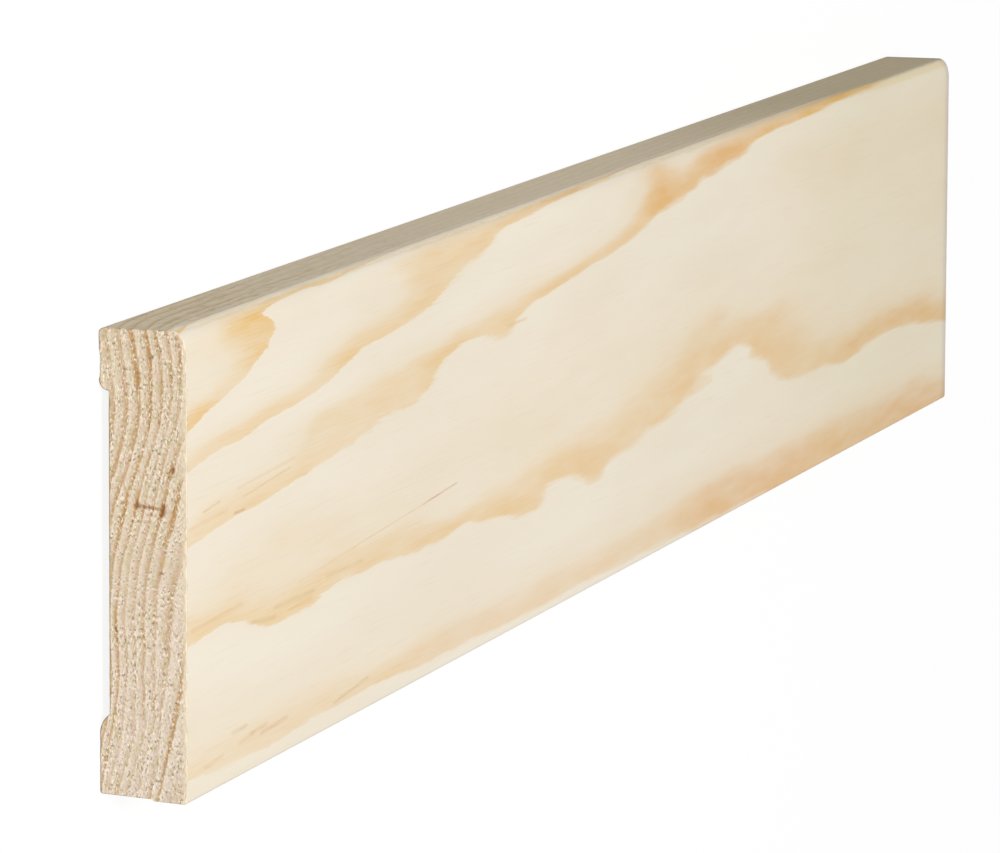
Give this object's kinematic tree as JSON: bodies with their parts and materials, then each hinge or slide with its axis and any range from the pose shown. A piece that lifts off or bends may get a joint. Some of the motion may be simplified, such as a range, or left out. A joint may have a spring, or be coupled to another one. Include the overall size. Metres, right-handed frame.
{
  "type": "skirting board length",
  "caption": "Length of plain pine skirting board with a softly eased top arris, a relieved back between two feet and square sawn ends.",
  "frame": {"origin": "centre of the board's footprint on the plane that its two back feet lie on", "axes": "+X along the length, +Y from the floor edge towards the top edge, +Z out of the show face, away from the wall"},
  "size_m": [0.6, 0.092, 0.018],
  "materials": {
    "pine": "planed and sanded, untreated"
  },
  "bodies": {
    "root": {"skirting_board": "pine"}
  },
  "joints": []
}
